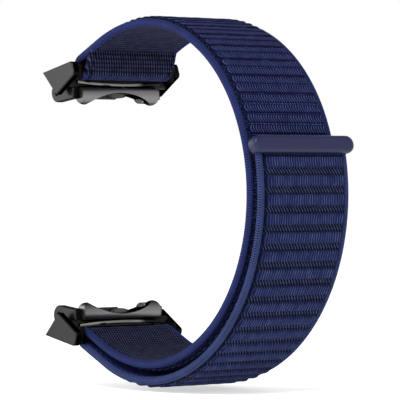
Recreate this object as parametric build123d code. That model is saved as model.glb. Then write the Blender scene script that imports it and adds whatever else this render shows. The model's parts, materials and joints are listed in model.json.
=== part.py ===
from build123d import *
import os
from math import acos, atan2, cos, degrees, hypot, radians, sin

# A woven wrist band for a clip-in fitness tracker, in millimetres.
# +X points from the tracker gap to the far side of the wrist loop, +Y runs along the
# band's width, +Z runs from the lower connector to the upper one.
# The pieces are laid out about a point on the wrist axis, half way between the two
# connectors, and moved at the end so that the origin is the middle of the whole band.

# Strap
webbing_width = 18.8
webbing_thickness = 1.2
wrist_radius = 28.65          # wrist-side face of the webbing
loop_rise = 1.3               # loop centre above the mid-plane of the two connectors
layer_gap = 1.45              # between the wrist layer and the return layer
selvedge_width = 1.3          # rounded edge on each side, part of the webbing width
selvedge_proud = 0.15         # edge stands above the smooth face of the webbing
tail_length = 3.0             # end sewn back at the upper connector
tail_sink = 0.4               # how far its thinned tip sinks into the run it is sewn to
upper_loop_slack = 0.5        # the sewn loop is looser on its bar than the folded one
upper_loop_lift = 0.35        # so that its bar rests in the bottom of the loop
upper_leave_angle = 100.0     # where the upper run leaves the loop's circle
upper_run_normal = 113.8      # outward normal of the straight run to the upper bar
return_leave_angle = -96.0
return_run_normal = -114.6
peel_angle = -32.0            # where the free end starts to peel
peel_slit = 0.1

# Hook patch and pull tab on the free end
hook_thickness = 0.75
hook_width = 14.0
hook_length = 17.0
hook_end_gap = 0.6
tab_angle = 13.5
tab_length = 21.2
tab_height = 3.0
tab_thickness = 1.9
tab_rise = 0.55               # tab's inner face above the webbing's inner face
tab_round = 0.75

# Strap bars
bar_radius = 0.55
bar_running_gap = 0.05
bar_circle_margin = 1.23      # bar axis outside the wrist face
bar_angle = 126.6             # bar axis round the loop, from +X
upper_bar_drop = 0.6          # the upper bar sits this much nearer the loop's middle
bar_ear_depth = 0.9           # how far the bar enters each ear

# Connector ears, (u, v) from the bar axis: u towards the wrist, v away from the gap
ear_room = 1.1                # between the webbing's edge and each ear
ear_thickness = 1.2
ear_tip = (-8.6, -0.4)
ear_shoulder = (0.45, 1.35)
ear_heel = (1.3, -1.0)
ear_toe = (-4.4, -4.45)
ear_round = 0.35
boss_gap = 0.15               # between webbing edge and boss
boss_width = 2.1
boss_height = 2.9
boss_drop = 0.45              # its middle below the bar axis, down past the crossbar's top

# Crossbar between the ears
crossbar_front = -1.7
crossbar_depth = 1.7
crossbar_height = 1.7
crossbar_drop = 1.5           # top of the crossbar below the bar axis
bead_radius = 0.45
bead_sink = 0.1               # bead's middle line inside the crossbar's front face
bead_bow = 0.45

# Clip bracket with its two lugs
lug_hole_radius = 0.65
lug_hole_u = -7.1
lug_hole_v = -3.9
lug_radius = 1.75
lug_thickness = 1.2
lug_outer_gap = 0.9           # between ear and lug
lug_front = -2.1              # the lug reaches this far under the crossbar
lug_front_height = 1.9        # below the crossbar
bracket_web_thickness = 0.8
bracket_nose_cut = 1.6

# Finger bridge, waisted round the release button
bridge_length = 16.6
bridge_height = 3.0
bridge_front = -0.75          # fullest point of the front face
bridge_front_fall = 0.75      # front face falls back this far at its bottom
bridge_top_fall = 0.25        # and this far at its top
bridge_back = -3.2
bridge_toe = 1.0              # width of the rounded bottom
bridge_corner = 1.1           # rounding of the lobes' outer corners
scoop_depth = 1.95
scoop_span = 13.9
scoop_lean = -6.0

# Release button and latch plate
button_length = 4.0
button_depth = 1.5
button_height = 1.25
button_proud = 0.75
button_crown = 0.4            # ends of the finger face fall back this far
button_travel = 0.5
button_side_gap = 0.06
ridge_count = 4
ridge_depth = 0.14
latch_thickness = 0.4
latch_width = 5.0
latch_reach = 2.9
latch_hook = 0.7

# Button springs and bridge rivets
spring_radius = 0.38
spring_wire = 0.08
spring_turns = 5
spring_spacing = 2.2
spring_pocket_gap = 0.08
spring_pocket_depth = 0.85
rivet_radius = 0.4
rivet_head_radius = 0.7
rivet_head_height = 0.35
rivet_spacing = 10.6
rivet_depth = 0.8

# Derived sizes
touching = 0.001
half_width = webbing_width / 2
half_web = webbing_thickness / 2
wrist_mid = wrist_radius + half_web
return_mid = wrist_radius + webbing_thickness + layer_gap + half_web
lower_wrap = bar_radius + bar_running_gap + half_web
upper_wrap = lower_wrap + upper_loop_slack
tail_rise = 2 * upper_wrap - webbing_thickness + tail_sink
loop_centre = Vector(0, loop_rise)
bar_distance = wrist_radius + bar_circle_margin
bar_spot = Vector(cos(radians(bar_angle)), sin(radians(bar_angle))) * bar_distance
upper_bar = bar_spot - Vector(0, upper_bar_drop)
upper_loop = upper_bar + Vector(0, upper_loop_lift)
lower_bar = Vector(bar_spot.X, -bar_spot.Y)
ear_inner = half_width + ear_room
lug_outer = ear_inner - lug_outer_gap
lug_inner = lug_outer - lug_thickness
crossbar_bottom = -crossbar_drop - crossbar_height
crossbar_back = crossbar_front - crossbar_depth
button_centre = crossbar_front - crossbar_depth / 2
waist_bottom = crossbar_bottom - bridge_height + scoop_depth
button_bottom = waist_bottom - button_proud
button_top = button_bottom + button_height


def polar(angle, length=1.0):
    return Vector(cos(radians(angle)), sin(radians(angle))) * length


class Bend:
    """One bend of the strap's middle line; the outer face is at radius + side * offset."""

    def __init__(self, centre, radius, start, end, side=1):
        self.centre = centre
        self.radius = radius
        self.start = start
        self.end = end
        self.side = side

    def point(self, angle, offset):
        return self.centre + polar(angle, self.radius + self.side * offset)

    def edges(self, offset):
        if self.start == self.end:
            return []
        middle = (self.start + self.end) / 2
        stations = [self.point(angle, offset) for angle in (self.start, middle, self.end)]
        return [ThreePointArc(*stations)]


def run_between(start, end):
    """Straight run between two bends, left out where the bends already meet."""
    return [Line(start, end)] if (end - start).length > touching else []


def band_outline(bends, low, high):
    """Closed outline between two offsets of a strap line made of bends and straight runs."""
    sides = []
    for offset in (low, high):
        edges = []
        for number, bend in enumerate(bends):
            if number:
                last = bends[number - 1]
                edges += run_between(last.point(last.end, offset), bend.point(bend.start, offset))
            edges += bend.edges(offset)
        sides += edges
    first = bends[0]
    last = bends[-1]
    ends = [
        Line(first.point(first.start, low), first.point(first.start, high)),
        Line(last.point(last.end, low), last.point(last.end, high)),
    ]
    return make_face(sides + ends)


def slab(outline, low, high):
    """Extrude an XZ outline between two stations along Y."""
    station = Plane((0, high, 0), x_dir=(1, 0, 0), z_dir=(0, -1, 0))
    return extrude(station * outline, amount=high - low)


def both_sides(piece):
    return [piece, mirror(piece, about=Plane.XZ)]


def easing_bend(radius, leave_angle, run_normal, bar, wrap):
    """Bend that leaves the loop's circle and ends in the straight run round a bar."""
    turn = cos(radians(leave_angle - run_normal))
    reach = (bar - loop_centre).dot(polar(run_normal))
    size = (reach - radius * turn + wrap) / (1 - turn)
    centre = loop_centre + polar(leave_angle, radius - size)
    return Bend(centre, size, leave_angle, run_normal)


def wrist_bends():
    """Strap line from the fold at the lower bar, round the wrist, to the upper loop."""
    offset = lower_bar - loop_centre
    lean = degrees(acos((wrist_mid + lower_wrap) / offset.length))
    lower_normal = degrees(atan2(offset.Y, offset.X)) + lean
    return [
        Bend(lower_bar, lower_wrap, return_run_normal + 360, lower_normal + 180, -1),
        Bend(loop_centre, wrist_mid, lower_normal, upper_leave_angle),
        easing_bend(wrist_mid, upper_leave_angle, upper_run_normal, upper_loop, upper_wrap),
        Bend(upper_loop, upper_wrap, upper_run_normal, tail_leave_angle()),
    ]


def tail_leave_angle():
    """Wrap angle at which the sewn-back end heads for the wrist face of the upper run."""
    return upper_run_normal + 180 + degrees(atan2(tail_rise, tail_length))


def tail_bends():
    angle = tail_leave_angle()
    run = polar(angle + 90, hypot(tail_rise, tail_length))
    return [
        Bend(upper_loop, upper_wrap, angle, angle),
        Bend(upper_loop + run, upper_wrap, angle, angle),
    ]


def return_bends():
    """Return layer, from the fold at the lower bar to the start of the free end."""
    ease = easing_bend(return_mid, return_leave_angle, return_run_normal, lower_bar, lower_wrap)
    return [
        Bend(lower_bar, lower_wrap, return_run_normal, return_run_normal),
        Bend(ease.centre, ease.radius, return_run_normal, return_leave_angle),
        Bend(loop_centre, return_mid, return_leave_angle, peel_angle),
    ]


def free_bends():
    start = peel_angle + degrees(peel_slit / return_mid)
    return [Bend(loop_centre, return_mid, start, tab_angle)]


def wrist_outline(low, high):
    return band_outline(wrist_bends(), low, high) + band_outline(tail_bends(), low, high)


def return_outline(low, high):
    return band_outline(return_bends(), low, high)


def free_outline(low, high):
    return band_outline(free_bends(), low, high)


def webbing(outline):
    edge = half_width - selvedge_width
    return slab(outline(-half_web, half_web), -edge, edge)


def wrist_selvedges():
    outline = wrist_outline(-half_web - selvedge_proud, half_web)
    return both_sides(slab(outline, half_width - selvedge_width, half_width))


def outer_selvedges(outline):
    edge = outline(-half_web, half_web + selvedge_proud)
    return both_sides(slab(edge, half_width - selvedge_width, half_width))


def hook_patch():
    middle = return_mid - half_web - hook_thickness / 2
    end = tab_angle - degrees((tab_height / 2 + hook_end_gap) / middle)
    start = end - degrees(hook_length / middle)
    outline = band_outline([Bend(loop_centre, middle, start, end)], -hook_thickness / 2,
                           hook_thickness / 2)
    return slab(outline, -hook_width / 2, hook_width / 2)


def pull_tab():
    """Moulded bar closed over the end of the webbing, overhanging both edges."""
    middle = return_mid - half_web + tab_rise + tab_thickness / 2
    face = Plane.YZ * SlotOverall(tab_length, tab_height)
    bar = extrude(face, amount=tab_thickness / 2, both=True)
    outer_rim = bar.faces().sort_by(Axis.X)[-1].edges()
    bar = fillet(outer_rim, tab_round)
    centre = loop_centre + polar(tab_angle, middle)
    bar = Pos(centre.X, 0, centre.Y) * Rot(0, -tab_angle, 0) * bar
    pocket = slab(free_outline(-half_web, half_web), -half_width, half_width)
    edges = outer_selvedges(free_outline)
    return bar - pocket - edges[0] - edges[1]


def strap_bar():
    length = 2 * (ear_inner + bar_ear_depth)
    return Rot(90, 0, 0) * Cylinder(bar_radius, length)


def ear():
    """Wedge-shaped side ear with the boss that carries the strap bar."""
    outline = make_face(Polyline(ear_tip, ear_shoulder, ear_heel, ear_toe, close=True))
    plate = slab(outline, ear_inner, ear_inner + ear_thickness)
    corners = plate.edges().filter_by(Axis.Y).sort_by(Axis.X)[-2:]
    plate = fillet(corners, ear_round * 2)
    outer = plate.faces().sort_by(Axis.Y)[-1].edges()
    plate = chamfer(outer, ear_round / 2)
    boss_outline = Pos(0, -boss_drop) * Rot(0, 0, -12) * Rectangle(boss_width, boss_height)
    boss = slab(boss_outline, half_width + boss_gap, ear_inner)
    socket = Pos(0, ear_inner, 0) * Rot(90, 0, 0) * Cylinder(bar_radius, 2 * bar_ear_depth)
    bore = Pos(0, half_width, 0) * Rot(90, 0, 0) * Cylinder(bar_radius, 4 * boss_gap + 2 * ear_thickness)
    return plate + boss - socket - bore


def crossbar():
    """Bar between the ears, with a bowed polished bead along its wrist side."""
    outline = Pos((crossbar_front + crossbar_back) / 2, crossbar_bottom + crossbar_height / 2) * Rectangle(
        crossbar_depth, crossbar_height)
    bar = slab(outline, -ear_inner, ear_inner)
    bar = fillet(bar.edges().filter_by(Axis.Y).sort_by(Axis.X)[-2:], crossbar_height / 4)
    height = crossbar_bottom + crossbar_height / 2 + bead_bow / 3
    end = half_width - bead_radius
    line = crossbar_front - bead_sink
    path = ThreePointArc((line, -end, height), (line, 0, height - bead_bow), (line, end, height))
    start = Plane(origin=path @ 0, z_dir=path % 0)
    bar = bar + sweep(start * Circle(bead_radius), path=path)
    for pocket in spring_pockets() + rivet_shanks():
        bar = bar - pocket
    return bar


def lug():
    """Side plate of the bracket, round at its pinned end."""
    top = lug_hole_v + lug_radius
    low = lug_hole_v - lug_radius
    plate = make_face(Polyline(
        (lug_hole_u, top),
        (crossbar_back, top),
        (crossbar_back, crossbar_bottom),
        (lug_front, crossbar_bottom),
        (lug_front, crossbar_bottom - lug_front_height),
        (lug_hole_u, low),
        close=True))
    plate = plate + Pos(lug_hole_u, lug_hole_v) * Circle(lug_radius)
    plate = plate - Pos(lug_hole_u, lug_hole_v) * Circle(lug_hole_radius)
    plate = slab(plate, lug_inner, lug_outer)
    rim = plate.faces().sort_by(Axis.Y)[-1].outer_wire().edges()
    return chamfer(rim, lug_thickness / 8)


def clip_bracket():
    """Folded steel channel: two lugs joined by a web behind the crossbar."""
    top = lug_hole_v + lug_radius
    nose = lug_hole_u - lug_radius + bracket_nose_cut
    middle = (nose + crossbar_back) / 2
    web_outline = Pos(middle, top - bracket_web_thickness / 2) * Rectangle(
        crossbar_back - nose, bracket_web_thickness)
    web = slab(web_outline, -lug_inner, lug_inner)
    right, left = both_sides(lug())
    return web + right + left


def bridge_outline():
    """Leaf-shaped section of the bridge, full in the middle and rounded at the bottom."""
    bottom = crossbar_bottom - bridge_height
    middle = crossbar_bottom - bridge_height / 2
    front_end = bridge_front - bridge_front_fall
    toe_back = front_end - bridge_toe
    front_top = (bridge_front - bridge_top_fall, crossbar_bottom)
    back_top = (bridge_back + bridge_top_fall, crossbar_bottom)
    toe = ((front_end + toe_back) / 2, bottom)
    toe_front = (front_end, bottom + bridge_toe / 4)
    toe_rear = (toe_back, bottom + bridge_toe / 4)
    return make_face([
        ThreePointArc(front_top, (bridge_front, middle), toe_front),
        ThreePointArc(toe_front, toe, toe_rear),
        ThreePointArc(toe_rear, (bridge_back, middle), back_top),
        Line(back_top, front_top),
    ])


def bridge_lobes():
    """Front view of the bridge, with the lobes' outer corners rounded."""
    bottom = crossbar_bottom - bridge_height
    plate = Box(4 * crossbar_depth, bridge_length, bridge_height)
    corners = plate.edges().filter_by(Axis.X).group_by(Axis.Z)[0]
    plate = fillet(corners, bridge_corner)
    return Pos(button_centre, 0, bottom + bridge_height / 2) * plate


def finger_bridge():
    """Bridge on the wrist side, scooped out round the button so that a finger reaches it."""
    body = slab(bridge_outline(), -bridge_length / 2, bridge_length / 2) & bridge_lobes()
    half_span = scoop_span / 2
    scoop_radius = (half_span**2 + scoop_depth**2) / (2 * scoop_depth)
    scoop = Rot(0, 90, 0) * Cylinder(scoop_radius, 8 * crossbar_depth)
    scoop = Rot(0, scoop_lean, 0) * scoop
    scoop_drop = scoop_radius / cos(radians(scoop_lean))
    body = body - Pos(button_centre, 0, waist_bottom - scoop_drop) * scoop
    body = body - button_slot()
    for counterbore in rivet_heads(bridge_height):
        body = body - counterbore
    for hole in rivet_shanks():
        body = body - hole
    return body


def button_slot():
    length = button_length + 2 * button_side_gap
    depth = button_depth + 2 * button_side_gap
    slot = Pos(button_centre, 0, crossbar_bottom) * extrude(
        Rot(0, 0, 90) * SlotOverall(length, depth), amount=2 * bridge_height, both=True)
    latch_room = latch_width + 2 * button_side_gap
    behind = Pos(button_centre - bridge_height, 0, crossbar_bottom) * Box(
        2 * bridge_height, latch_room, 4 * bridge_height)
    return slot + behind


def release_button():
    """Oval button with a crowned finger face and fine ridges along it."""
    body = Pos(button_centre, 0, button_bottom) * extrude(
        Rot(0, 0, 90) * SlotOverall(button_length, button_depth), amount=button_height)
    crown_radius = (button_length**2 / 4 + button_crown**2) / (2 * button_crown)
    crown = Pos(button_centre, 0, button_bottom + crown_radius) * Rot(0, 90, 0)
    body = body & crown * Cylinder(crown_radius, 2 * button_depth)
    pitch = button_depth / (ridge_count + 1)
    ring = Cylinder(2 * crown_radius, ridge_depth) - Cylinder(crown_radius - ridge_depth, ridge_depth)
    for number in range(ridge_count):
        place = pitch * (number + 1) - button_depth / 2
        body = body - Pos(place, 0, 0) * crown * ring
    return body


def latch_plate():
    """Plate behind the button that moves with it and ends in the tracker hook."""
    front = button_centre - button_depth / 2
    top = button_top - latch_thickness / 2
    low = top - latch_thickness
    nose = front - latch_reach
    outline = make_face(Polyline(
        (front, low),
        (front, top),
        (nose, top),
        (nose, low - latch_hook),
        (nose + latch_thickness, low - latch_hook + latch_thickness / 2),
        (nose + latch_thickness, low),
        close=True))
    return slab(outline, -latch_width / 2, latch_width / 2)


def spring_places():
    return [spring_spacing / 2, -spring_spacing / 2]


def spring_pockets():
    radius = spring_radius + spring_wire + spring_pocket_gap
    return [
        Pos(button_centre, place, crossbar_bottom) * Cylinder(radius, 2 * spring_pocket_depth)
        for place in spring_places()
    ]


def button_springs():
    low = button_top + spring_wire
    high = crossbar_bottom + spring_pocket_depth - spring_wire
    coils = []
    for place in spring_places():
        wire = Helix(pitch=(high - low) / spring_turns, height=high - low, radius=spring_radius)
        start = Plane(origin=wire @ 0, z_dir=wire % 0)
        coil = sweep(start * Circle(spring_wire), path=wire, is_frenet=True)
        coils.append(Pos(button_centre, place, low) * coil)
    return coils


def rivet_places():
    return [rivet_spacing / 2, -rivet_spacing / 2]


def rivet_shanks():
    length = rivet_depth + bridge_height / 2
    return [
        Pos(button_centre, place, crossbar_bottom + rivet_depth - length / 2) * Cylinder(rivet_radius, length)
        for place in rivet_places()
    ]


def rivet_heads(height):
    shank_end = crossbar_bottom - bridge_height / 2
    return [
        Pos(button_centre, place, shank_end - height / 2) * Cylinder(rivet_head_radius, height)
        for place in rivet_places()
    ]


def bridge_rivets():
    return [
        shank + head
        for shank, head in zip(rivet_shanks(), rivet_heads(rivet_head_height))
    ]


def place_upper(pieces):
    return [Pos(upper_bar.X, 0, upper_bar.Y) * piece for piece in pieces]


def place_lower(pieces):
    flipped = [mirror(piece, about=Plane.XY) for piece in pieces]
    return [Pos(lower_bar.X, 0, lower_bar.Y) * piece for piece in flipped]


def connector_pieces():
    return {
        "side_ears": both_sides(ear()),
        "crossbar": [crossbar()],
        "strap_bar": [strap_bar()],
        "clip_bracket": [clip_bracket()],
        "finger_bridge": [finger_bridge()],
        "bridge_rivets": bridge_rivets(),
        "release_button": [release_button()],
        "latch_plate": [latch_plate()],
        "button_springs": button_springs(),
    }


def band_pieces():
    nodes = {
        "strap_wrist_layer": [webbing(wrist_outline)],
        "wrist_layer_selvedges": wrist_selvedges(),
        "strap_return_layer": [webbing(return_outline)],
        "return_layer_selvedges": outer_selvedges(return_outline),
        "strap_free_end": [webbing(free_outline)],
        "free_end_selvedges": outer_selvedges(free_outline),
        "hook_patch": [hook_patch()],
        "pull_tab": [pull_tab()],
    }
    for name, pieces in connector_pieces().items():
        nodes["upper_" + name] = place_upper(pieces)
        nodes["lower_" + name] = place_lower(pieces)
    return nodes


def middle_of(nodes):
    """Middle of the box round every piece."""
    boxes = [piece.bounding_box() for pieces in nodes.values() for piece in pieces]
    low = Vector(min(b.min.X for b in boxes), min(b.min.Y for b in boxes), min(b.min.Z for b in boxes))
    high = Vector(max(b.max.X for b in boxes), max(b.max.Y for b in boxes), max(b.max.Z for b in boxes))
    return (low + high) / 2


def write_parts():
    nodes = band_pieces()
    middle = middle_of(nodes)
    os.makedirs("parts", exist_ok=True)
    for name, pieces in nodes.items():
        solids = [solid for piece in pieces for solid in (Pos(-middle) * piece).solids()]
        node = solids[0] if len(solids) == 1 else Compound(children=solids)
        node.label = name
        export_step(node, f"parts/{name}.step")
    upper_pin = upper_bar + Vector(lug_hole_u, lug_hole_v)
    lower_pin = lower_bar + Vector(lug_hole_u, -lug_hole_v)
    print("moved by", -middle)
    print("upper bar axis", upper_bar.X - middle.X, upper_bar.Y - middle.Z)
    print("lower bar axis", lower_bar.X - middle.X, lower_bar.Y - middle.Z)
    print("upper lug hole", upper_pin.X - middle.X, upper_pin.Y - middle.Z)
    print("lower lug hole", lower_pin.X - middle.X, lower_pin.Y - middle.Z)
    print("loop centre", -middle.X, loop_rise - middle.Z)
    hinge = loop_centre + polar(peel_angle, return_mid + half_web + selvedge_proud)
    print("peel hinge", hinge.X - middle.X, hinge.Y - middle.Z)


write_parts()
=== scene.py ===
import json
from math import acos, atan2, ceil, cos, degrees, hypot, pi, radians, sin

import bpy
import numpy as np
from mathutils import Matrix, Vector


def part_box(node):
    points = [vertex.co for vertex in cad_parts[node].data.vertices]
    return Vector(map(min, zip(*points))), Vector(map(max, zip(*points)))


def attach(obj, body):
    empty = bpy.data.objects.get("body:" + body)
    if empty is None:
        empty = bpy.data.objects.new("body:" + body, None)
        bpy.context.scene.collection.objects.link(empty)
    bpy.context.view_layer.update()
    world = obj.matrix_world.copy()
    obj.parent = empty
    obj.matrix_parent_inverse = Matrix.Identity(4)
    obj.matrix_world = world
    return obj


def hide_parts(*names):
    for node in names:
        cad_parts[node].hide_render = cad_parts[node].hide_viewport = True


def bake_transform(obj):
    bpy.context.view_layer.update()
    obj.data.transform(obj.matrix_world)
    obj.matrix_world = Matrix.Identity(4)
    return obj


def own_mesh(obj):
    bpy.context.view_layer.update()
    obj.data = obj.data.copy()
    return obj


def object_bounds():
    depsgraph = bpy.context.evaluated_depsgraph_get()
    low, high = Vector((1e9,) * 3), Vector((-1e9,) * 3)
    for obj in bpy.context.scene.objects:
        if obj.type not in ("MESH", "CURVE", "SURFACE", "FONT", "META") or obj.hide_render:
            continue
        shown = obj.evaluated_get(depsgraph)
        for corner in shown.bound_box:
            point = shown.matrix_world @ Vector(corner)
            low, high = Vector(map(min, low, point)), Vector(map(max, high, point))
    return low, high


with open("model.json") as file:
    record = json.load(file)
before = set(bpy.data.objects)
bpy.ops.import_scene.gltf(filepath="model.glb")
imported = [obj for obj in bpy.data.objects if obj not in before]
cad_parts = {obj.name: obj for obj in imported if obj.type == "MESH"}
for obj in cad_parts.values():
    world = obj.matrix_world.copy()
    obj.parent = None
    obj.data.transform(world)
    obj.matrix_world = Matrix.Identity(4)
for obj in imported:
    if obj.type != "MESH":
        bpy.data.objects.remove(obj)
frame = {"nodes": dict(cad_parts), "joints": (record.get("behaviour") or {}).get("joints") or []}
cad_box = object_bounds()

MM = 0.001

# Strap sizes, as in the CAD source, in millimetres.
WIDTH = 18.8
THICK = 1.2
WRIST_RADIUS = 28.65
LAYER_GAP = 1.45
SELVEDGE = 1.0
PROUD = 0.15
TAIL_LENGTH = 3.0
TAIL_SINK = 0.4
LOOP_SLACK = 0.5
LOOP_LIFT = 0.35
UPPER_LEAVE = 100.0
UPPER_NORMAL = 113.8
RETURN_LEAVE = -96.0
RETURN_NORMAL = -114.6
TAB_ANGLE = 13.5
BAR_RADIUS = 0.55
BAR_GAP = 0.05

# Weave, in millimetres
WRIST_RIB = 1.84
WRIST_RIB_HEIGHT = 0.5
RETURN_RIB = 3.05
RETURN_RIB_HEIGHT = 0.68
YARN = 0.53
LINING_ROW = 0.8
LINING_BAND = 4.2
EDGE_KNIT_ALONG = 0.42
EDGE_KNIT_ACROSS = 0.6

# Loft: distance between rings along the strap, and points across each region
STEP = 0.16
FACE_POINTS = 65
WRIST_POINTS = 33
EDGE_POINTS = 19
EDGE_TURN = 156

# The sewn tail gets thinner over its last stretch, and wears the lining's cloth a little before that
TAIL_THIN = 2.0
TAIL_THINNING = 0.55
TAIL_LINED = 4.6

half = THICK / 2
WEB_HALF = WIDTH / 2 - SELVEDGE
wrist_mid = WRIST_RADIUS + half
return_mid = WRIST_RADIUS + THICK + LAYER_GAP + half
lower_wrap = BAR_RADIUS + BAR_GAP + half
upper_wrap = lower_wrap + LOOP_SLACK


def joint(name):
    return next(j for j in frame["joints"] if j["name"] == name)


def flat(point):
    """The X and Z of a point in metres, as millimetres."""
    return np.array([point[0] / MM, point[2] / MM])


def polar(angle, length=1.0):
    return np.array([cos(radians(angle)), sin(radians(angle))]) * length


loop_centre = flat(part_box("strap_wrist_layer")[1]) - (wrist_mid + half)
upper_bar = flat(joint("upper_connector_swing")["pos_m"])
upper_loop = upper_bar + np.array([0, LOOP_LIFT])
lower_bar = flat(joint("lower_connector_swing")["pos_m"])


# ---------------------------------------------------------------- strap line


def bend(centre, radius, start, end, side=1):
    return {"centre": centre, "radius": radius, "start": start, "end": end, "side": side}


def bend_points(b, step):
    length = abs(radians(b["end"] - b["start"])) * b["radius"]
    count = max(1, ceil(length / step))
    angles = np.radians(np.linspace(b["start"], b["end"], count + 1))
    out = np.stack([np.cos(angles), np.sin(angles)], 1)
    return b["centre"] + out * b["radius"], out * b["side"]


def line_points(bends, step):
    """Middle line of a strap through its bends and straight runs: points, outward normals and lengths."""
    points, normals = [], []
    for b in bends:
        p, n = bend_points(b, step)
        if points:
            gap = np.linalg.norm(p[0] - points[-1])
            count = max(1, ceil(gap / step))
            for i in range(1, count):
                points.append(last_p + (p[0] - last_p) * i / count)
                normals.append(last_n)
            if gap < 1e-3:
                p, n = p[1:], n[1:]
        points += list(p)
        normals += list(n)
        last_p, last_n = points[-1], normals[-1]
    points, normals = np.array(points), np.array(normals)
    steps = np.linalg.norm(np.diff(points, axis=0), axis=1)
    return points, normals, np.concatenate([[0], np.cumsum(steps)])


def easing(radius, leave, normal, bar, wrap):
    turn = cos(radians(leave - normal))
    size = ((bar - loop_centre) @ polar(normal) - radius * turn + wrap) / (1 - turn)
    return bend(loop_centre + polar(leave, radius - size), size, leave, normal)


def wrist_line(step):
    offset = lower_bar - loop_centre
    lean = degrees(acos((wrist_mid + lower_wrap) / np.linalg.norm(offset)))
    normal = degrees(atan2(offset[1], offset[0])) + lean
    rise = 2 * upper_wrap - THICK + TAIL_SINK
    leave = UPPER_NORMAL + 180 + degrees(atan2(rise, TAIL_LENGTH))
    run = polar(leave + 90, hypot(rise, TAIL_LENGTH))
    return line_points([
        bend(lower_bar, lower_wrap, RETURN_NORMAL + 360, normal + 180, -1),
        bend(loop_centre, wrist_mid, normal, UPPER_LEAVE),
        easing(wrist_mid, UPPER_LEAVE, UPPER_NORMAL, upper_loop, upper_wrap),
        bend(upper_loop, upper_wrap, UPPER_NORMAL, leave),
        bend(upper_loop + run, upper_wrap, leave, leave),
    ], step)


def return_line(step):
    ease = easing(return_mid, RETURN_LEAVE, RETURN_NORMAL, lower_bar, lower_wrap)
    return line_points([
        bend(lower_bar, lower_wrap, RETURN_NORMAL, RETURN_NORMAL),
        bend(ease["centre"], ease["radius"], RETURN_NORMAL, RETURN_LEAVE),
        bend(loop_centre, return_mid, RETURN_LEAVE, TAB_ANGLE),
    ], step)


# ---------------------------------------------------------------- strap meshes

FACE, EDGE, WRIST = 0, 1, 2


def smooth(x, low, high):
    t = np.clip((x - low) / (high - low), 0, 1)
    return t * t * (3 - 2 * t)


def section(lift):
    """Closed outline of the webbing across its width: w, e and the region of each span."""
    middle = WIDTH / 2 - SELVEDGE / 2
    reach = SELVEDGE / 2
    rise = half + PROUD / 2
    w, e, region = [], [], []

    def add(width, height, kind):
        w.append(width)
        e.append(height)
        region.append(kind)

    def edge(side, angles):
        for a in angles:
            across = abs(cos(a)) ** 0.8 * (1 if cos(a) > 0 else -1)
            add(side * (middle + reach * across), lift + rise * sin(a), EDGE)

    turn = np.radians(np.linspace(EDGE_TURN, -EDGE_TURN, EDGE_POINTS))
    flat_end = WEB_HALF - 0.1
    seam = WEB_HALF - 0.01
    for x in np.linspace(-flat_end, flat_end, FACE_POINTS):
        add(x, half, FACE)
    add(seam, half * 0.3, FACE)
    edge(1, turn)
    add(seam, -half * 0.5, WRIST)
    for x in np.linspace(flat_end, -flat_end, WRIST_POINTS):
        add(x, -half, WRIST)
    add(-seam, -half * 0.5, WRIST)
    edge(-1, turn[::-1])
    add(-seam, half * 0.3, FACE)
    return np.array(w), np.array(e), np.array(region)


def region_of_spans(region):
    """Region of the span from each section point to the next."""
    return np.maximum(region, np.roll(region, -1))


def strap_mesh(name, line, lift, relief, thinning=None, plain_from=None):
    """Loft the section along the line; relief(s, w) raises the outer face, thinning(s) scales the
    thickness, and beyond plain_from the edges wear the lining's cloth."""
    points, normals, lengths = line
    w, e, region = section(lift)
    s = lengths[:, None]
    height = np.repeat(e[None, :], len(lengths), 0)
    if thinning is not None:
        height = height * thinning(s)
    face = (region == FACE) & (e > half * 0.9)
    height[:, face] += relief(s, w[None, face])
    x = points[:, 0][:, None] + normals[:, 0][:, None] * height
    z = points[:, 1][:, None] + normals[:, 1][:, None] * height
    y = np.repeat(w[None, :], len(lengths), 0)
    vertices = np.stack([x, y, z], 2).reshape(-1, 3) * MM
    rings, ring = len(lengths), len(w)
    index = np.arange(rings * ring).reshape(rings, ring)
    follow = np.roll(index, -1, 1)
    quads = np.stack([index[:-1], follow[:-1], follow[1:], index[1:]], 2).reshape(-1, 4)
    kinds = np.repeat(region_of_spans(region)[None, :], rings - 1, 0)
    if plain_from is not None:
        kinds[lengths[:-1] > plain_from] = WRIST
    kinds = kinds.reshape(-1)
    mesh = bpy.data.meshes.new(name)
    caps = [list(index[0]), list(index[-1][::-1])]
    mesh.from_pydata(vertices.tolist(), [], quads.tolist() + caps)
    uv = mesh.uv_layers.new(name="weave")
    along = np.repeat(lengths, ring)
    wide = np.tile(w, rings)
    ids = np.zeros(len(mesh.loops), int)
    mesh.loops.foreach_get("vertex_index", ids)
    uv.data.foreach_set("uv", np.stack([along[ids], wide[ids]], 1).reshape(-1).astype(np.float32))
    mesh.polygons.foreach_set("material_index", np.concatenate([kinds, [EDGE, EDGE]]).astype(np.int32))
    mesh.shade_smooth()
    mesh.validate()
    piece = bpy.data.objects.new(name, mesh)
    bpy.context.collection.objects.link(piece)
    return piece


def ripple(s, w, seed):
    """Slow unevenness of the weave, the same on every run."""
    return (np.sin(w * 0.9 + seed) * np.sin(s * 0.37 + seed * 2) + np.sin(w * 2.3 + s * 1.1 + seed)) * 0.5


def shingle(t):
    """Rib that steps up sharply and eases down towards a thin cord before the next one."""
    body = smooth(t, 0.0, 0.12) * (1 - smooth(t, 0.3, 0.95) * 0.5) * (1 - smooth(t, 0.84, 0.9))
    cord = smooth(t, 0.87, 0.92) * (1 - smooth(t, 0.96, 1.0)) * 0.62
    return np.maximum(body, cord)


def edge_fall(w, depth):
    """Ribs end short of the rounded edge, with a dip between."""
    return 1 - smooth(np.abs(w), WEB_HALF - 0.55, WEB_HALF - 0.1) * depth


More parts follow.
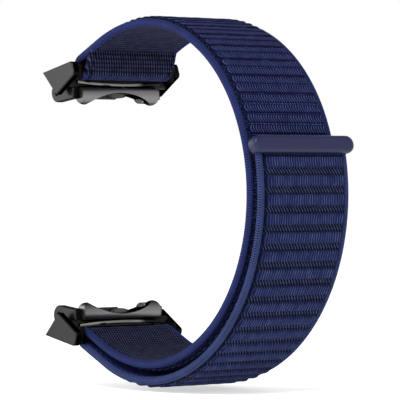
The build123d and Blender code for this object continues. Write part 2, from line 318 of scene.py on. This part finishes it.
def wrist_relief(ends):
    def relief(s, w):
        t = (s + 0.03 * ripple(s, w, 1.0)) / WRIST_RIB
        t = t - np.floor(t)
        fade = smooth(s, ends[0], ends[0] + 1.5) * (1 - smooth(s, ends[1] - 1.5, ends[1]))
        rise = 0.3 + 0.7 * shingle(t) + 0.05 * ripple(s, w, 4.0)
        return WRIST_RIB_HEIGHT * rise * edge_fall(w, 0.9) * fade
    return relief


def return_relief(start):
    def relief(s, w):
        t = (s + 0.04 * ripple(s, w, 2.0)) / RETURN_RIB
        t = t - np.floor(t)
        band = smooth(t, 0.0, 0.09) * (1 - smooth(t, 0.52, 0.66))
        crown = 0.82 + 0.18 * np.sin(np.clip(t / 0.6, 0, 1) * pi)
        groove = 0.22 * smooth(t, 0.68, 0.74) * (1 - smooth(t, 0.9, 0.98))
        fade = smooth(s, start, start + 2.0)
        rise = 0.12 + 0.88 * (band * crown + groove) + 0.04 * ripple(s, w, 5.0)
        return RETURN_RIB_HEIGHT * rise * edge_fall(w, 0.9) * fade
    return relief


# ---------------------------------------------------------------- materials


class Graph:
    """Short helper for building a shader from nodes."""

    def __init__(self, name):
        self.material = bpy.data.materials.new(name)
        self.material.use_nodes = True
        self.tree = self.material.node_tree
        self.shader = self.tree.nodes["Principled BSDF"]

    def node(self, kind, **settings):
        made = self.tree.nodes.new(kind)
        for key, value in settings.items():
            setattr(made, key, value)
        return made

    def put(self, socket, value):
        if isinstance(value, bpy.types.NodeSocket):
            self.tree.links.new(value, socket)
        else:
            socket.default_value = value

    def math(self, operation, *values):
        made = self.node("ShaderNodeMath", operation=operation)
        for socket, value in zip(made.inputs, values):
            self.put(socket, value)
        return made.outputs[0]

    def wave(self, phase):
        return self.math("MULTIPLY_ADD", self.math("SINE", self.math("MULTIPLY", phase, 2 * pi)), 0.5, 0.5)

    def step(self, value, low, high):
        made = self.node("ShaderNodeMapRange", interpolation_type="SMOOTHSTEP")
        self.put(made.inputs["Value"], value)
        made.inputs["From Min"].default_value = low
        made.inputs["From Max"].default_value = high
        return made.outputs["Result"]

    def mix(self, factor, first, second):
        made = self.node("ShaderNodeMix", data_type="RGBA")
        self.put(made.inputs["Factor"], factor)
        self.put(made.inputs["A"], first)
        self.put(made.inputs["B"], second)
        return made.outputs["Result"]

    def noise(self, scale, detail=2.0, vector=None, stretch=None):
        coordinates = vector or self.node("ShaderNodeTexCoord").outputs["Object"]
        if stretch:
            mapping = self.node("ShaderNodeMapping")
            self.put(mapping.inputs["Vector"], coordinates)
            mapping.inputs["Scale"].default_value = stretch
            coordinates = mapping.outputs["Vector"]
        made = self.node("ShaderNodeTexNoise")
        self.put(made.inputs["Vector"], coordinates)
        made.inputs["Scale"].default_value = scale
        made.inputs["Detail"].default_value = detail
        return made.outputs["Fac"]

    def bump(self, height, distance, strength=1.0):
        made = self.node("ShaderNodeBump")
        made.inputs["Distance"].default_value = distance
        made.inputs["Strength"].default_value = strength
        self.put(made.inputs["Height"], height)
        self.tree.links.new(made.outputs["Normal"], self.shader.inputs["Normal"])

    def weave_axes(self):
        uv = self.node("ShaderNodeUVMap", uv_map="weave").outputs["UV"]
        split = self.node("ShaderNodeSeparateXYZ")
        self.put(split.inputs[0], uv)
        return split.outputs["X"], split.outputs["Y"]


def srgb(r, g, b):
    def one(c):
        c /= 255
        return c / 12.92 if c <= 0.04045 else ((c + 0.055) / 1.055) ** 2.4
    return (one(r), one(g), one(b), 1)


def cloth(graph, colour):
    """Dull, faintly sheened finish of every woven face."""
    graph.put(graph.shader.inputs["Base Color"], colour)
    graph.shader.inputs["Roughness"].default_value = 0.85
    graph.shader.inputs["Specular IOR Level"].default_value = 0.08
    graph.shader.inputs["Sheen Weight"].default_value = 0.02
    graph.shader.inputs["Sheen Roughness"].default_value = 0.5
    graph.shader.inputs["Sheen Tint"].default_value = srgb(110, 122, 200)


def seam_shade(g, w, base, dark):
    """Darken the dip between the woven face and its rounded edge."""
    near = g.step(g.math("ABSOLUTE", w), WEB_HALF - 0.65, WEB_HALF - 0.2)
    return g.mix(g.math("MULTIPLY", near, 0.75), base, dark)


def ribbed_cloth():
    """Outer face of the wrist layer: ribs filled with curved slanting yarns."""
    g = Graph("webbing_ribbed")
    s, w = g.weave_axes()
    t = g.math("FRACT", g.math("DIVIDE", s, WRIST_RIB))
    bow = g.math("POWER", g.math("ABSOLUTE", g.math("SUBTRACT", g.math("MULTIPLY", t, 2.2), 1.0)), 2.0)
    drift = g.math("MULTIPLY", g.noise(500), 0.5)
    phase = g.math("ADD", g.math("SUBTRACT", g.math("DIVIDE", w, YARN), g.math("MULTIPLY", bow, 0.9)), drift)
    yarn = g.math("POWER", g.wave(phase), 1.3)
    cord = g.step(t, 0.86, 0.9)
    body = g.math("MULTIPLY", g.step(t, 0.0, 0.14), g.math("SUBTRACT", 1.0, g.step(t, 0.76, 0.86)))
    cord_yarn = g.wave(g.math("ADD", g.math("DIVIDE", w, YARN * 1.6), t))
    weave = g.math("MAXIMUM", g.math("MULTIPLY", yarn, g.math("MULTIPLY_ADD", body, 0.85, 0.15)),
                   g.math("MULTIPLY", cord, g.math("MULTIPLY_ADD", cord_yarn, 0.4, 0.5)))
    g.bump(g.math("MULTIPLY_ADD", g.noise(5200, 3), 0.25, weave), 0.00017, 1.0)
    dark, mid, light = srgb(2, 5, 32), srgb(11, 17, 66), srgb(96, 108, 168)
    # Valleys between ribs and gaps between yarns are darker: partly the weave's own pattern, partly painted
    # shade in these recesses.
    base = g.mix(g.math("MAXIMUM", body, g.math("MULTIPLY", cord, 0.8)), dark, mid)
    between = g.math("MULTIPLY", g.math("SUBTRACT", 1.0, yarn), g.math("MULTIPLY", body, 0.85))
    base = g.mix(between, base, dark)
    uneven = g.math("MULTIPLY_ADD", g.noise(700, 2), 1.1, 0.05)
    base = g.mix(g.math("MULTIPLY", g.math("POWER", weave, 3.0), uneven), base, light)
    base = g.mix(g.math("MULTIPLY", g.noise(260, 2), 0.35), base, dark)
    cloth(g, seam_shade(g, w, base, dark))
    return g.material


def banded_cloth():
    """Outer face of the return layer: raised bands of upright yarns and grooves of slanting stitches."""
    g = Graph("webbing_banded")
    s, w = g.weave_axes()
    t = g.math("FRACT", g.math("DIVIDE", s, RETURN_RIB))
    band = g.math("MULTIPLY", g.step(t, 0.0, 0.08), g.math("SUBTRACT", 1.0, g.step(t, 0.54, 0.64)))
    drift = g.math("MULTIPLY", g.noise(600), 0.7)
    bow = g.math("MULTIPLY", g.math("POWER", g.math("ABSOLUTE", g.math("SUBTRACT", t, 0.3)), 2.0), 5.0)
    upright = g.wave(g.math("ADD", g.math("SUBTRACT", g.math("DIVIDE", w, YARN * 0.95), bow), drift))
    breaks = g.math("MULTIPLY_ADD", g.noise(900, 2, stretch=(1, 1, 0.4)), 0.9, 0.2)
    slant = g.wave(g.math("ADD", g.math("DIVIDE", w, YARN * 1.15), g.math("MULTIPLY", t, 3.2)))
    edge_line = g.math("MULTIPLY", g.step(t, 0.6, 0.66), g.math("SUBTRACT", 1.0, g.step(t, 0.66, 0.72)))
    mixer = g.node("ShaderNodeMix")
    g.put(mixer.inputs["Factor"], band)
    g.put(mixer.inputs["A"], g.math("MULTIPLY", g.math("POWER", slant, 1.6), 0.75))
    g.put(mixer.inputs["B"], g.math("MULTIPLY", upright, breaks))
    yarn = mixer.outputs["Result"]
    height = g.math("MULTIPLY_ADD", g.noise(5200, 3), 0.25, g.math("POWER", yarn, 0.8))
    g.bump(height, 0.00016, 1.0)
    dark, mid, light = srgb(2, 5, 30), srgb(15, 22, 66), srgb(108, 122, 172)
    # Grooves between bands and the thin line in the dip at each band's edge are darker: partly the weave's
    # own pattern, partly painted shade in these recesses.
    base = g.mix(band, dark, mid)
    glint = g.math("MULTIPLY", g.math("POWER", yarn, 2.0), g.math("MULTIPLY_ADD", g.noise(700, 2), 0.9, 0.2))
    base = g.mix(glint, base, light)
    base = g.mix(g.math("MULTIPLY", edge_line, 0.8), base, dark)
    base = g.mix(g.math("MULTIPLY", g.noise(260, 2), 0.35), base, dark)
    cloth(g, seam_shade(g, w, base, dark))
    return g.material


def lining_cloth(name, dark, mid, light):
    """Wrist face: rows of short stitches, staggered from row to row, with faint bands."""
    g = Graph(name)
    s, w = g.weave_axes()
    row = g.math("DIVIDE", s, LINING_ROW)
    stagger = g.math("MULTIPLY", g.math("FLOOR", row), 0.5)
    off_middle = g.math("ABSOLUTE", g.math("MULTIPLY_ADD", g.math("FRACT", row), 2.0, -1.0))
    inside = g.math("SUBTRACT", 1.0, off_middle)
    lean = g.math("MULTIPLY", g.math("FRACT", row), 0.55)
    stitch = g.wave(g.math("ADD", g.math("ADD", g.math("DIVIDE", w, YARN), stagger), lean))
    knit = g.math("MULTIPLY", g.math("POWER", stitch, 2.6), g.math("POWER", inside, 0.8))
    bands = g.wave(g.math("DIVIDE", s, LINING_BAND))
    g.bump(g.math("MULTIPLY_ADD", g.noise(5000, 3), 0.3, knit), 0.00013, 0.9)
    base = g.mix(bands, mid, dark)
    base = g.mix(g.math("MULTIPLY", knit, g.math("MULTIPLY_ADD", g.noise(700, 2), 1.2, 0.0)), base, light)
    cloth(g, base)
    return g.material


def selvedge_cloth(name, dark, mid, light):
    """Rounded edge: tight fine knit running along the strap."""
    g = Graph(name)
    s, w = g.weave_axes()
    along = g.math("DIVIDE", s, EDGE_KNIT_ALONG)
    across = g.math("DIVIDE", w, EDGE_KNIT_ACROSS)
    one = g.wave(g.math("ADD", along, across))
    two = g.wave(g.math("SUBTRACT", along, across))
    knit = g.math("MAXIMUM", g.math("POWER", one, 2.0), g.math("POWER", two, 2.0))
    g.bump(g.math("MULTIPLY_ADD", g.noise(5000, 3), 0.35, knit), 0.00008, 0.9)
    base = g.mix(g.step(g.noise(300, 3), 0.35, 0.7), dark, mid)
    base = g.mix(g.math("MULTIPLY", knit, 0.45), base, light)
    cloth(g, base)
    return g.material


def facing(g, *axes):
    """1 on faces that look along one of these axes of the piece, 0 on the others."""
    split = g.node("ShaderNodeSeparateXYZ")
    g.put(split.inputs[0], g.node("ShaderNodeTexCoord").outputs["Normal"])
    total = 0.0
    for axis in axes:
        total = g.math("ADD", g.math("POWER", split.outputs[axis], 2.0), total)
    return g.step(g.math("SQRT", total), 0.6, 0.8)


def metal(name, colour, roughness, shaded=(), shade=0.1):
    """Coated metal. Faces that look along the shaded axes are painted darker, to match how they look in the
    photograph's light: the real coat is probably one colour all over."""
    g = Graph(name)
    grit = g.noise(3800, 3)
    patches = g.noise(220, 3)
    darker = tuple(c * 0.8 for c in colour[:3]) + (1,)
    base = g.mix(patches, darker, colour)
    if shaded:
        # Painted shade: faces that look along the shaded axes take this darker colour, shade times the base
        # colour.
        painted_shade_colour = tuple(c * shade for c in colour[:3]) + (1,)
        base = g.mix(facing(g, *shaded), base, painted_shade_colour)
    g.put(g.shader.inputs["Base Color"], base)
    made = g.node("ShaderNodeMapRange")
    g.put(made.inputs["Value"], patches)
    made.inputs["To Min"].default_value = roughness * 0.85
    made.inputs["To Max"].default_value = roughness * 1.2
    g.put(g.shader.inputs["Roughness"], made.outputs["Result"])
    g.shader.inputs["Metallic"].default_value = 1.0
    g.shader.inputs["Specular Tint"].default_value = (0.1, 0.1, 0.1, 1)
    g.bump(grit, 0.00002, 0.5)
    return g.material


def polished_bar(name, node):
    """Black polished bar. The bright line along its bead is painted, where the photograph shows a
    highlight."""
    low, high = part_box(node)
    g = Graph(name)
    split = g.node("ShaderNodeSeparateXYZ")
    g.put(split.inputs[0], g.node("ShaderNodeTexCoord").outputs["Object"])
    # Painted highlight: a bright line along the crown of the bead, broken up by noise and fading out towards
    # the +Y end.
    crown = g.step(split.outputs["X"], high[0] - 0.08 * MM, high[0] - 0.02 * MM)
    line = g.math("MULTIPLY", crown, g.math("MULTIPLY_ADD", g.noise(300, 2), 0.5, 0.6))
    line = g.math("MULTIPLY", line, g.step(split.outputs["Y"], 5.5 * MM, 3.5 * MM))
    g.put(g.shader.inputs["Base Color"], g.mix(line, srgb(6, 6, 7), srgb(165, 164, 160)))
    g.shader.inputs["Roughness"].default_value = 0.22
    g.shader.inputs["Specular IOR Level"].default_value = 0.15
    g.bump(g.noise(3800, 3), 0.000003, 0.3)
    return g.material


def tab_polymer():
    """Satin moulding of the pull tab."""
    g = Graph("tab_satin")
    patches = g.noise(160, 2)
    g.put(g.shader.inputs["Base Color"], g.mix(patches, srgb(17, 22, 58), srgb(21, 27, 66)))
    g.shader.inputs["Roughness"].default_value = 0.42
    g.shader.inputs["Specular IOR Level"].default_value = 0.35
    g.bump(g.noise(5200, 2), 0.000015, 0.4)
    return g.material


def hook_tape():
    """Rough nylon hooks under the free end."""
    g = Graph("hook_tape")
    g.put(g.shader.inputs["Base Color"], g.mix(g.noise(900, 2), srgb(20, 23, 50), srgb(38, 42, 78)))
    g.shader.inputs["Roughness"].default_value = 0.6
    g.bump(g.noise(2600, 3), 0.00008, 0.8)
    return g.material


# ---------------------------------------------------------------- build the strap

ribbed, banded = ribbed_cloth(), banded_cloth()
# Lit and shaded copies of one knit: the wrist-side lining is painted darker overall as painted shade, and
# the return layer's inside is painted lighter, standing in for light reaching into the narrow gap between
# the layers.
lining = lining_cloth("webbing_lining_painted_shade", srgb(0, 1, 16), srgb(3, 5, 27), srgb(88, 96, 140))
inside = lining_cloth("webbing_inside_painted_light", srgb(12, 20, 72), srgb(18, 28, 86), srgb(84, 98, 160))
inner_edge = selvedge_cloth("selvedge_inner", srgb(5, 9, 46), srgb(12, 19, 66), srgb(62, 74, 132))
outer_edge = selvedge_cloth("selvedge_outer", srgb(14, 22, 56), srgb(26, 37, 80), srgb(78, 92, 138))

wrist = wrist_line(STEP)
fold_length = lower_wrap * 3.2
total = wrist[2][-1]
tail_rise = 2 * upper_wrap - THICK + TAIL_SINK
loop_start = total - hypot(tail_rise, TAIL_LENGTH) - upper_wrap * pi * 1.07


def tail_thinning(s):
    return 1 - TAIL_THINNING * smooth(s, total - TAIL_THIN, total)


wrist_layer = strap_mesh(
    "wrist_layer", wrist, -PROUD / 2, wrist_relief((fold_length + 1.0, loop_start)),
    tail_thinning, total - TAIL_LINED)
for material in (ribbed, inner_edge, lining):
    wrist_layer.data.materials.append(material)
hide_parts("strap_wrist_layer", "wrist_layer_selvedges")
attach(wrist_layer, "strap")

outer = return_line(STEP)
return_layer = strap_mesh("return_layer", outer, PROUD / 2, return_relief(0.5))
for material in (banded, outer_edge, inside):
    return_layer.data.materials.append(material)
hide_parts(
    "strap_return_layer", "return_layer_selvedges", "strap_free_end", "free_end_selvedges")


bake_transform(return_layer)

# ---------------------------------------------------------------- carried-over parts

# Ears, clip bracket, finger bridge and release button: faces along their listed shaded axes are painted
# darker, as painted shade.
paints = {
    "side_ears": metal("ear_satin_black_painted_shade", srgb(72, 72, 72), 0.34, shaded=("X", "Z"), shade=0.12),
    "strap_bar": metal("drawn_steel", srgb(78, 78, 80), 0.35),
    "clip_bracket": metal("bracket_satin_black_painted_shade", srgb(74, 74, 75), 0.34, shaded=("X", "Z"), shade=0.25),
    "finger_bridge": metal("bridge_satin_grey_painted_shade", srgb(126, 126, 126), 0.3, shaded=("Z",)),
    "bridge_rivets": metal("rivet_steel", srgb(60, 60, 60), 0.35),
    "release_button": metal("button_satin_grey_painted_shade", srgb(84, 84, 84), 0.34, shaded=("Z",), shade=0.5),
    "latch_plate": metal("latch_steel", srgb(96, 96, 98), 0.3),
    "button_springs": metal("spring_steel", srgb(150, 150, 152), 0.25),
}


def paint(node, material):
    piece = frame["nodes"][node]
    piece.data.materials.clear()
    piece.data.materials.append(material)


for side in ("upper", "lower"):
    for part, material in paints.items():
        paint(f"{side}_{part}", material)
    paint(f"{side}_crossbar", polished_bar(f"{side}_bar_polished_painted_highlight", f"{side}_crossbar"))
paint("pull_tab", tab_polymer())
paint("hook_patch", hook_tape())


def pressed_springs(side):
    """The CAD coils as a piece of their own, carried by the connector."""
    node, press = f"{side}_button_springs", joint(f"{side}_button_press")
    coils = bpy.data.objects.new(f"{side}_spring_coils", frame["nodes"][node].data.copy())
    coils.matrix_world = frame["nodes"][node].matrix_world
    bpy.context.collection.objects.link(coils)
    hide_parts(node)
    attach(coils, f"{side}_connector")
    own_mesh(coils)


for side in ("upper", "lower"):
    pressed_springs(side)

# ---------------------------------------------------------------- stage

FLOOR_SIZE = 12
FLOOR_GAP = 1.2 * MM


def floor_material():
    """Pale floor that glows a little, so that it meets the white backdrop without a horizon."""
    g = Graph("pale_floor")
    g.put(g.shader.inputs["Base Color"], g.mix(g.noise(40), (0.9, 0.9, 0.9, 1), (0.93, 0.93, 0.93, 1)))
    g.shader.inputs["Roughness"].default_value = 0.9
    g.shader.inputs["Specular IOR Level"].default_value = 0.1
    g.shader.inputs["Emission Color"].default_value = (1, 1, 1, 1)
    g.shader.inputs["Emission Strength"].default_value = 0.55
    return g.material


bpy.ops.mesh.primitive_plane_add(size=FLOOR_SIZE, location=(0, 0, cad_box[0][2] - FLOOR_GAP))
floor_piece = bpy.context.object
floor_piece.name = "floor"
floor_piece.data.materials.append(floor_material())

scene = bpy.context.scene
scene.view_settings.view_transform = "Standard"
scene.view_settings.look = "None"


def studio_world():
    """White walls that darken towards the ceiling, so that polished tops reflect less."""
    world = bpy.data.worlds.new("studio")
    world.use_nodes = True
    tree = world.node_tree
    coordinates = tree.nodes.new("ShaderNodeTexCoord")
    split = tree.nodes.new("ShaderNodeSeparateXYZ")
    ramp = tree.nodes.new("ShaderNodeMapRange")
    ramp.interpolation_type = "SMOOTHSTEP"
    ramp.inputs["From Min"].default_value = 0.3
    ramp.inputs["From Max"].default_value = 0.85
    ramp.inputs["To Min"].default_value = 1.0
    ramp.inputs["To Max"].default_value = 0.3
    tree.links.new(coordinates.outputs["Generated"], split.inputs[0])
    tree.links.new(split.outputs["Z"], ramp.inputs["Value"])
    tree.links.new(ramp.outputs["Result"], tree.nodes["Background"].inputs["Strength"])
    tree.nodes["Background"].inputs["Color"].default_value = (1, 1, 1, 1)
    return world


scene.world = studio_world()


def area_light(name, place, size, power):
    """Soft round light aimed at the middle of the object."""
    data = bpy.data.lights.new(name, "AREA")
    data.shape = "DISK"
    data.size = size
    data.energy = power
    lamp = bpy.data.objects.new(name, data)
    lamp.location = place
    lamp.rotation_euler = (-Vector(place)).to_track_quat("-Z", "Y").to_euler()
    bpy.context.collection.objects.link(lamp)


area_light("key", (0.25, -0.30, 0.42), size=0.2, power=2.0)
area_light("fill", (-0.30, -0.32, 0.12), size=0.3, power=0.6)

AZIMUTH, ELEVATION, ROLL = radians(52.57), radians(-0.115), radians(-0.555)
DISTANCE = 480 * MM
VIEW_WIDTH = 68.634 * MM
SENSOR = 36
AIM = np.array([4.121, -1.204])
camera_data = bpy.data.cameras.new("camera")
camera_data.lens = SENSOR * DISTANCE / VIEW_WIDTH
camera_data.sensor_width = SENSOR
camera_data.clip_start = 0.01
camera_data.dof.use_dof = False
camera = bpy.data.objects.new("camera", camera_data)
bpy.context.collection.objects.link(camera)
scene.camera = camera
aim = (loop_centre + AIM) * MM
target = Vector((aim[0], 0, aim[1]))
back = Vector((sin(AZIMUTH) * cos(ELEVATION), -cos(AZIMUTH) * cos(ELEVATION), sin(ELEVATION)))
camera.location = target + back * DISTANCE
look = (-back).to_track_quat("-Z", "Y").to_matrix()
camera.rotation_euler = (look @ Matrix.Rotation(ROLL, 3, "Z")).to_euler()

bpy.context.view_layer.update()
